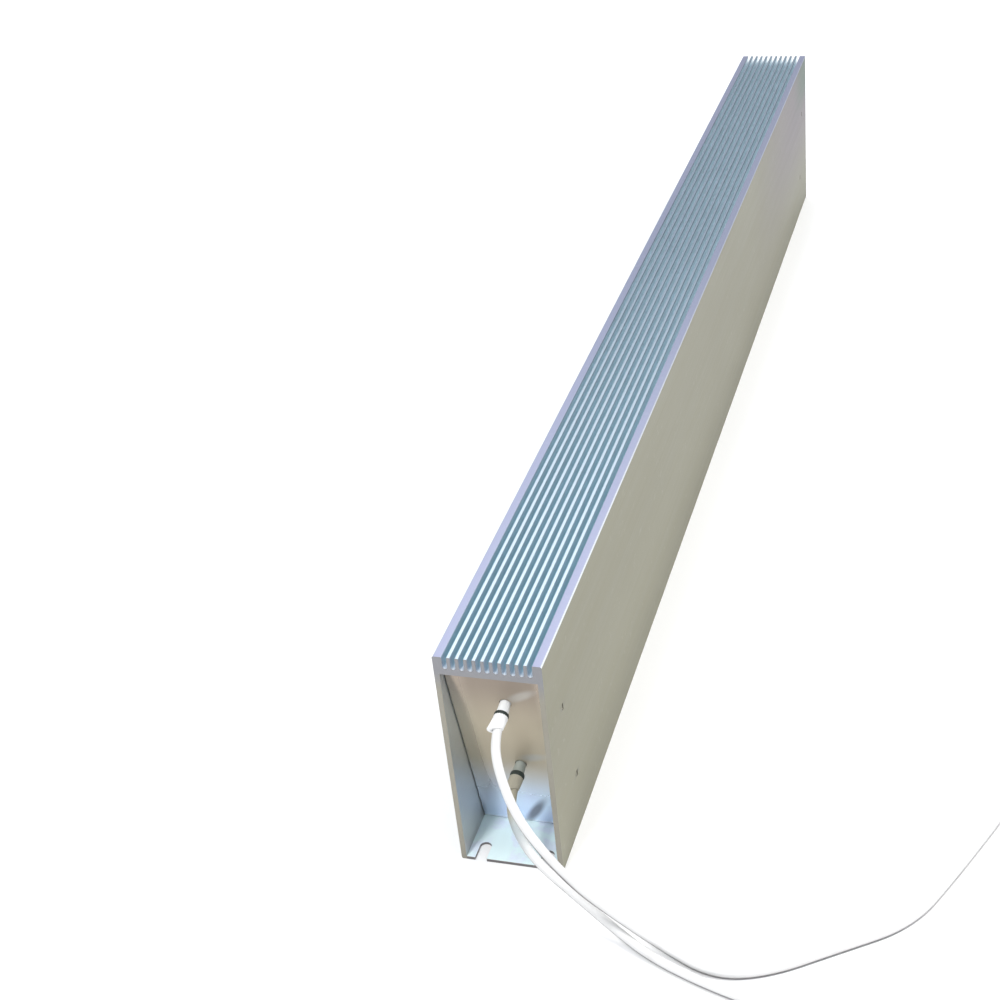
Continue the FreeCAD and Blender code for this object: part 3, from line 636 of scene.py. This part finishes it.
def strand(start, direction, offset, phase, rows=40, columns=12):
    """Tube round a helix: with v from 0 to 1 along it, its centre lies at the offset from the axis,
    at the angle phase + 2 pi turns v.

    Its radius is that of a strand times the root of 18 v near one end, and alike at the other.
    """
    first, second = axis_frame(direction)
    v = np.linspace(0.0, 1.0, rows)
    lay = phase + 2 * math.pi * LAY_TURNS * v
    centre = start + v[:, None] * BARE_LENGTH * direction
    centre = centre + offset * (np.cos(lay)[:, None] * first + np.sin(lay)[:, None] * second)
    thickness = STRAND_RADIUS * np.clip(np.minimum(v, 1 - v) * TIP_STEEPNESS, 0.0, 1.0) ** 0.5
    angle = np.linspace(0.0, 2 * math.pi, columns, endpoint=False)
    ring = np.cos(angle)[:, None] * first + np.sin(angle)[:, None] * second
    return centre[:, None, :] + thickness[:, None, None] * ring[None]


def bare_end(level):
    """Seven strands in one mesh, each a grid of its own: one in the middle, six round it."""
    points = lead_points(level)
    direction = (points[-1] - points[-2]) / np.linalg.norm(points[-1] - points[-2])
    ring = [(2 * STRAND_RADIUS, 2 * math.pi * k / STRANDS_ROUND) for k in range(STRANDS_ROUND)]
    grids = [strand(points[-1], direction, offset, phase) for offset, phase in [(0.0, 0.0)] + ring]
    rows, columns, _ = grids[0].shape
    faces = grid_faces(rows, columns)
    count = rows * columns
    joined = np.concatenate([faces[:, ::-1] + k * count for k in range(len(grids))])
    return make_piece(f"{level}_strands", np.concatenate(grids).reshape(-1, 3), joined)


bare_ends = {level: bare_end(level) for level in ROUTES}
tin = Finish("Tinned copper", metallic=1.0)
patch = tin.noise(tin.place(), 1400.0, 3.0)
tinned = tin.feed(
    base_color=tin.mix(patch, colour(0.60, 0.60, 0.60), colour(0.80, 0.79, 0.77)),
    roughness=tin.span(patch, 0.22, 0.42),
    normal=tin.bump(patch, 0.00003, 0.5),
)
for level, piece in bare_ends.items():
    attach(piece, "root")
    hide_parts(f"{level}_lead_bare_end")
    piece.data.materials.append(tinned)
tips = [piece.data.vertices[-1].co for piece in bare_ends.values()]
print("strands end at", [[round(value, 3) for value in tip] for tip in tips])

# %% [markdown]
# Each lead starts at the bushing's mouth.

# %% [markdown]
# ## Extruded aluminium
# The housing is pushed through a die as one long profile and then sawn to length. The die leaves
# fine straight lines along the length, the saw leaves lines across the ends, and the skin dulls
# to a soft grey. Lines along one direction are a noise pattern squeezed across it and stretched
# along it. The roof carries painted highlights on its crests and outer edges, which fade towards
# the far end, and the side darkens towards the far end. A faint violet painted reflection lies on
# the far part of the side, with a green one in its upper corner. Each face is found by its
# coordinates, because it is one solid.

# %% Where each face of the housing lies
profile = Finish("Extruded aluminium", specular_ior_level=0.5)
across, along, high = profile.axes(profile.place())
width = profile.maths("ABSOLUTE", across)
length = profile.maths("ABSOLUTE", along)
outside = profile.beyond(width, 24.6, 24.9)
sawn = profile.beyond(length, 399.85, 399.99)
grooved = profile.short_of(width, 20.66, 20.84)
flank = profile.beyond(high, 112.8, 113.4) * grooved
crest = profile.beyond(high, 118.6, 119.8) * grooved
land = profile.beyond(high, 119.0, 119.8) * (1.0 - grooved)
edge = profile.beyond(width, 24.3, 24.7) * profile.beyond(high, 119.0, 119.6)
within = profile.short_of(width, 22.2, 22.6)
top_of_bed = profile.beyond(high, 1.2, 1.5)
bed = profile.short_of(high, 1.8, 3.4) * top_of_bed * within
# The bed's thin cut faces, which get painted shade.
thin = (1.0 - top_of_bed) * profile.beyond(high, 0.1, 0.2) * within
low_flank = profile.short_of(high, 114.1, 114.7) * flank
groove_end_glint = profile.beyond(length, 397.8, 399.4) * low_flank * (1.0 - sawn)
mouth = profile.short_of(along, -399.0, -392.0) * flank
far = profile.beyond(along, -420.0, 60.0)
print("faces of the housing are told apart by their coordinates")

# %% [markdown]
# Four punch marks on each side push the wall's metal over the cover's flange. A soft spot of
# painted shade lies round each dent, and the wall of its pocket is painted paler, as painted light.

# %% Punch marks
MARK_PLACES = ((365.65, 31.0), (376.96, 80.0))
DENT_SHADE_LENGTH, DENT_SHADE_HEIGHT = 4.0 * MM, 1.7 * MM


def dent_shade(place, height):
    """Painted shade round a punch mark: an ellipse, measured in its own half length and half
    height.

    It is 1 in the middle and fades as sqrt(off^2 + up^2) goes from 0.2 to 1.5.
    """
    off = (length - place * MM) / DENT_SHADE_LENGTH
    up = (high - height * MM) / DENT_SHADE_HEIGHT
    return 1.0 - profile.step(profile.maths("SQRT", off * off + up * up), 0.2, 1.5)


near_the_skin = profile.beyond(width, 23.8, 24.0)
# Painted shade round the punch dents, fainter far away.
dent_shades = [dent_shade(place, height) for place, height in MARK_PLACES]
fainter_far_away = 0.75 - 0.4 * profile.beyond(along, 0.0, 100.0)
marks = (dent_shades[0] + dent_shades[1]) * near_the_skin * fainter_far_away
below_the_roof = profile.short_of(length, 390.0, 392.0) * profile.short_of(high, 100.0, 105.0)
# The pocket walls, which get painted light.
pocket = near_the_skin * (1.0 - outside) * below_the_roof
print("punch marks at", MARK_PLACES, "mm from the middle and above the floor")

# %% Die lines, saw lines and film
fine_lines = profile.noise(profile.place(scale=(1.0, 0.004, 1.0)), 2600.0, 2.0)
broad_lines = profile.noise(profile.place(scale=(1.0, 0.01, 1.0)), 260.0, 3.0)
film = profile.noise(profile.place(scale=(1.0, 0.45, 1.0)), 14.0, 4.0)
saw_lines = profile.noise(profile.place(scale=(0.06, 1.0, 1.0)), 3200.0, 2.0)
scuffs = profile.step(profile.noise(profile.place(), 220.0, 5.0), 0.62, 0.74)
clouds = profile.step(profile.noise(profile.place(), 90.0, 3.0), 0.46, 0.62)
print("relief: die lines along the length, saw lines across the ends")

# %% Tones of the housing
upwards = profile.beyond(high, 10.0, 90.0)
inner_tone = profile.mix(upwards, colour(0.525, 0.525, 0.51), colour(0.58, 0.645, 0.695))
film_tone = profile.mix(film, colour(0.186, 0.178, 0.117), colour(0.214, 0.203, 0.138))
# Painted reflections on the side: a faint violet one over its far part, a green one in its upper
# corner.
violet_painted_reflection = profile.beyond(along, 120.0, 360.0) * upwards
green_painted_reflection = profile.beyond(along, 330.0, 390.0) * profile.beyond(high, 80.0, 102.0)
side_tone = profile.layers(film_tone, [
    (profile.short_of(high, 12.0, 85.0) * 0.75, colour(0.275, 0.265, 0.190)),
    (profile.beyond(along, -300.0, 50.0) * 0.4, colour(0.175, 0.167, 0.115)),
    (violet_painted_reflection * 0.85, colour(0.160, 0.135, 0.158)),
    (green_painted_reflection * 0.85, colour(0.070, 0.120, 0.085)),
])
# Painted shading in the grooves: dark teal low down, paler towards the roof, lavender at the open
# near end and lighter towards the far end.
towards_roof = profile.beyond(high, 115.0, 119.2)
near_flank_painted_shading = profile.mix(towards_roof, colour(0.52, 0.70, 0.77), colour(0.72, 0.86, 0.94))
flank_painted_shading = profile.layers(near_flank_painted_shading, [
    (far, colour(0.79, 0.89, 0.94)),
    (mouth * 0.8, colour(0.66, 0.68, 0.76)),
])
# Painted highlights on the crests and the outer roof edges; they and the lands darken towards the
# far end as the highlights fade.
crest_highlight = profile.mix(far, colour(0.72, 0.82, 0.89), colour(0.25, 0.31, 0.37))
land_tone = profile.mix(far, colour(0.46, 0.47, 0.62), colour(0.28, 0.29, 0.39))
edge_highlight = profile.mix(far, colour(0.92, 0.95, 0.99), colour(0.45, 0.47, 0.58))
# The bed is a painted reflection of the sky: pale blue, and almost not metallic.
bed_painted_sky_reflection = profile.mix(clouds, colour(0.80, 0.98, 1.00), colour(0.78, 0.88, 1.00))
top_of_end = profile.beyond(high, 100.0, 113.0)
sawn_tone = profile.mix(top_of_end, colour(0.305, 0.288, 0.240), colour(0.255, 0.255, 0.270))
print("each face has its own tone")

# %% Housing finish
skin = profile.layers(inner_tone, [
    (outside, side_tone),
    (flank, flank_painted_shading),
    (crest, crest_highlight),
    (land, land_tone),
    (edge, edge_highlight),
    (bed, bed_painted_sky_reflection),
    (sawn, sawn_tone),
    # Painted glints at the lower ends of the grooves, next to the sawn ends.
    (groove_end_glint, colour(0.95, 0.97, 1.00)),
    # Painted shade on the bed's thin cut faces, at the front and round the slots.
    (thin, colour(0.17, 0.16, 0.17)),
    # Painted light on the walls of the punch pockets.
    (pocket, colour(0.80, 0.77, 0.66)),
    # Painted shade round the punch dents.
    (marks, colour(0.15, 0.14, 0.11)),
    (broad_lines * 0.18, colour(0.33, 0.34, 0.34)),
    (scuffs * 0.05, colour(0.70, 0.70, 0.68)),
])
extrusion_relief = fine_lines * 0.7 + broad_lines * 0.3
relief = extrusion_relief * (1.0 - sawn) + saw_lines * sawn
extruded_aluminium = profile.feed(
    base_color=skin,
    # Little metal on the bed and the pocket walls, so that their painted reflection and painted
    # light show.
    metallic=0.95 - bed * 0.93 - pocket * 0.6,
    roughness=0.36 + fine_lines * 0.10 + film * 0.10 + sawn * 0.08,
    normal=profile.bump(relief, 0.00003, 0.35),
)
print("finish:", extruded_aluminium.name)

# %% [markdown]
# ## Rolled cover sheet
# The covers are bright rolled sheet, folded with a flange all round. They mirror the walls and
# the bottom in a soft way. Rolling leaves streaks, and hands leave dull patches. Light and shade
# are also painted on: the foot is painted with a pale blue reflection of the bed, the head and
# the lower corners with shade, and the bend with a highlight, and smears of painted reflection
# and painted shadow lie beside the exits. Such a smear could come from a picture, but an ellipse
# worked out from the sheet's own coordinates needs no picture.

# %% Places on a cover
rolled = Finish("Rolled cover sheet")
sideways, depth, rise = rolled.axes(rolled.place())
aside = rolled.maths("ABSOLUTE", sideways)
streaks = rolled.noise(rolled.place(scale=(1.0, 0.02, 0.02)), 1600.0, 3.0)
dull = rolled.noise(rolled.place(), 45.0, 4.0)
foot = rolled.short_of(rise, 10.0, 52.0)
head = rolled.beyond(rise, 70.0, 108.0)
bend = rolled.short_of(rise, 2.4, 4.2)
corner = rolled.beyond(aside, 19.5, 22.2) * rolled.short_of(rise, 4.0, 30.0)
near = rolled.short_of(depth, -100.0, 100.0)
handled = rolled.beyond(sideways, -18.0, -10.0) * rolled.short_of(sideways, 17.0, 21.0)
bright = (1.0 - handled) * (1.0 - foot)
dulled = handled * (1.0 - foot)


def painted_smear(x, z, lean, half_length, half_width):
    """Soft painted smear on the near cover: an ellipse on the sheet, in mm, whose long axis leans.

    With u along the ellipse and v across it, both in half lengths, it fades as sqrt(u^2 + v^2)
    goes from 0.3 to 1.2.
    """
    cosine, sine = math.cos(math.radians(lean)), math.sin(math.radians(lean))
    off, up = sideways - x * MM, rise - z * MM
    u = (off * cosine + up * sine) / (half_length * MM)
    v = (up * cosine - off * sine) / (half_width * MM)
    return (1.0 - rolled.step(rolled.maths("SQRT", u * u + v * v), 0.3, 1.2)) * near


# The smeared places are painted reflections and a painted shadow.
print("a cover has a foot, a head, folds, corners and painted smears")

# %% Cover finish
# The foot is painted pale blue: a painted reflection of the bed.
foot_reflection_to_middle = rolled.mix(foot, colour(0.44, 0.385, 0.288), colour(0.71, 0.81, 1.00))
sheet_tone = rolled.layers(foot_reflection_to_middle, [
    # Painted shade from the roof darkens the head.
    (head, colour(0.295, 0.242, 0.195)),
    (streaks * 0.15, colour(0.42, 0.39, 0.34)),
    # Painted shade in the lower corners.
    (corner * 0.4, colour(0.16, 0.18, 0.20)),
    # A painted highlight along the bend of the foot.
    (bend * 0.5, colour(0.98, 0.99, 1.00)),
    # Painted reflections beside the exits: a pale one of the upper lead and a grey one of the lower
    # lead.
    (painted_smear(11.5, 97.0, 32.0, 9.5, 3.0) * 0.4, colour(0.58, 0.58, 0.56)),
    (painted_smear(10.5, 53.0, 15.0, 8.0, 3.0) * 0.6, colour(0.42, 0.43, 0.42)),
    # A dark painted shadow of the lower lead, with its painted reflection, by the foot.
    (painted_smear(5.0, 10.5, 60.0, 14.0, 3.2) * 0.85, colour(0.12, 0.115, 0.14)),
])
rolled_sheet = rolled.feed(
    base_color=sheet_tone,
    metallic=0.65 + bright * 0.25,
    roughness=0.12 + dulled * 0.38 + streaks * 0.04 + dull * 0.06,
    normal=rolled.bump(streaks, 0.00001, 0.3),
)
print("finish:", rolled_sheet.name)

# %% [markdown]
# ## Finishes of the parts inside
# Nothing of the inside shows while the covers are on, but a part from a shared library may be cut
# open. So each inner solid gets the look of its own material: fired clay, oxidised ribbon, plated
# steel, flaky mica and gritty cement. One recipe serves them all, with other numbers.

# %% Inner finishes
def grained(name, dark, light, scale, rough, depth, **constants):
    """Colour, roughness and relief that all drift between two ends with the same noise."""
    finish = Finish(name, **constants)
    grain = finish.noise(finish.place(), scale, 5.0, 0.6)
    fine = finish.noise(finish.place(), scale * 6.0, 2.0)
    drift = grain * 0.7 + fine * 0.3
    return finish.feed(
        base_color=finish.mix(finish.step(drift, 0.3, 0.7), colour(*dark), colour(*light)),
        roughness=finish.span(fine, *rough),
        normal=finish.bump(drift, depth, 0.6),
    )


INNER = {
    "tube_ceramic": grained(
        "Fired former clay", (0.72, 0.66, 0.56), (0.84, 0.80, 0.72), 220.0, (0.55, 0.75), 0.00008
    ),
    "resistance_alloy": grained(
        "Oxidised ribbon", (0.20, 0.19, 0.18), (0.36, 0.34, 0.32), 500.0, (0.32, 0.5),
        0.00003, metallic=1.0,
    ),
    "terminal_steel": grained(
        "Plated terminal steel", (0.55, 0.54, 0.50), (0.70, 0.69, 0.66), 400.0, (0.25, 0.4),
        0.00003, metallic=1.0,
    ),
    "mica": grained(
        "Flaky mica sheet", (0.42, 0.36, 0.26), (0.62, 0.55, 0.42), 90.0, (0.35, 0.6), 0.00006
    ),
    "quartz_cement": grained(
        "Quartz cement", (0.50, 0.48, 0.44), (0.74, 0.72, 0.67), 700.0, (0.8, 0.95), 0.00030
    ),
}
print("inner finishes:", sorted(INNER))

# %% [markdown]
# Every solid that no finer piece replaces now gets its finish. A list of names is written out, so
# that a solid left over is noticed.

# %% Dress the solids that stay
DRESS = {
    "housing": extruded_aluminium,
    "near_end_cover": rolled_sheet,
    "far_end_cover": rolled_sheet,
    "mica_liner": INNER["mica"],
    "quartz_filling": INNER["quartz_cement"],
    "series_link": INNER["terminal_steel"],
    "near_tube_support": INNER["tube_ceramic"],
    "far_tube_support": INNER["tube_ceramic"],
}
for level in ROUTES:
    DRESS[f"{level}_ceramic_tube"] = INNER["tube_ceramic"]
    DRESS[f"{level}_winding"] = INNER["resistance_alloy"]
    DRESS[f"{level}_near_band"] = INNER["terminal_steel"]
    DRESS[f"{level}_far_band"] = INNER["terminal_steel"]
    DRESS[f"{level}_lead_crimp"] = INNER["terminal_steel"]
    DRESS[f"{level}_lead_core"] = tinned
for name, material in DRESS.items():
    slots = nodes[name].data.materials
    slots.clear()
    slots.append(material)
undressed = [name for name in nodes if name not in DRESS and not nodes[name].hide_render]
print(f"{len(DRESS)} solids dressed, left over: {undressed}")

# %% [markdown]
# ## Floor and light
# The object stands on a plain white floor under soft light. A cool panel behind and above is what
# the grooved roof mirrors, and a wide panel overhead whitens the floor. A small key lamp, high at
# the front left, models the near end. A wide fill at the right is a little warm and keeps the
# long side from going grey. The world adds an even light. One big lamp would be simpler, but then
# the grooves would not stand out.

# %% Floor
FLOOR_HALF, FLOOR_DROP = 12.0, 0.1 * MM


def floor_piece():
    """Flat square a hair below z = 0, made as a grid of two by two points."""
    x, y = np.meshgrid((-FLOOR_HALF, FLOOR_HALF), (-FLOOR_HALF, FLOOR_HALF), indexing="ij")
    points = np.stack((x, y, np.zeros_like(x) - FLOOR_DROP), axis=-1).reshape(-1, 3)
    return make_piece("Floor", points, [(0, 2, 3, 1)], smooth=False)


floor = floor_piece()
paper = Finish("White studio floor", specular_ior_level=0.2)
grain = paper.noise(paper.place(), 6.0, 3.0)
floor.data.materials.append(
    paper.feed(
        base_color=paper.mix(grain, colour(0.90, 0.90, 0.90), colour(0.92, 0.92, 0.92)),
        roughness=paper.span(grain, 0.75, 0.85),
    )
)
print("floor", floor.dimensions.x, "m wide")

# %% Lamps
def panel(name, place, target, size, energy, tone):
    """Rectangular lamp at a place, facing a target, with a size in metres and a power in watts."""
    data = bpy.data.lights.new(name, "AREA")
    data.shape = "RECTANGLE"
    data.size, data.size_y = size
    data.energy = energy
    data.color = tone
    lamp = bpy.data.objects.new(name, data)
    bpy.context.scene.collection.objects.link(lamp)
    aim = (Vector(target) - Vector(place)).to_track_quat("-Z", "Y")
    lamp.matrix_world = Matrix.Translation(place) @ aim.to_matrix().to_4x4()
    return lamp


LAMPS = {  # place, target, size in metres, watts and tone
    "Sky panel": ((-0.65, 2.2, 2.0), (0.0, 0.0, 0.1), (2.6, 1.2), 14.0, (0.80, 0.89, 1.0)),
    "Ceiling panel": ((0.3, -0.2, 2.6), (0.3, -0.2, 0.0), (2.6, 2.6), 18.0, (1.0, 1.0, 1.0)),
    "Key lamp": ((-0.45, -1.75, 2.7), (0.0, -0.4, 0.05), (0.4, 0.4), 50.0, (0.98, 0.99, 1.0)),
    "Warm fill": ((1.3, -0.1, 2.0), (0.1, 0.0, 0.0), (1.4, 1.4), 34.0, (1.0, 0.98, 0.96)),
}
for name, settings in LAMPS.items():
    panel(name, *settings)

world = bpy.data.worlds.new("Studio")
world.use_nodes = True
background = world.node_tree.nodes["Background"]
background.inputs["Color"].default_value = colour(0.93, 0.96, 1.0)
background.inputs["Strength"].default_value = 0.66
bpy.context.scene.world = world
bpy.context.scene.view_settings.view_transform = "Standard"
print("lamps:", [lamp.name for lamp in bpy.data.lights])
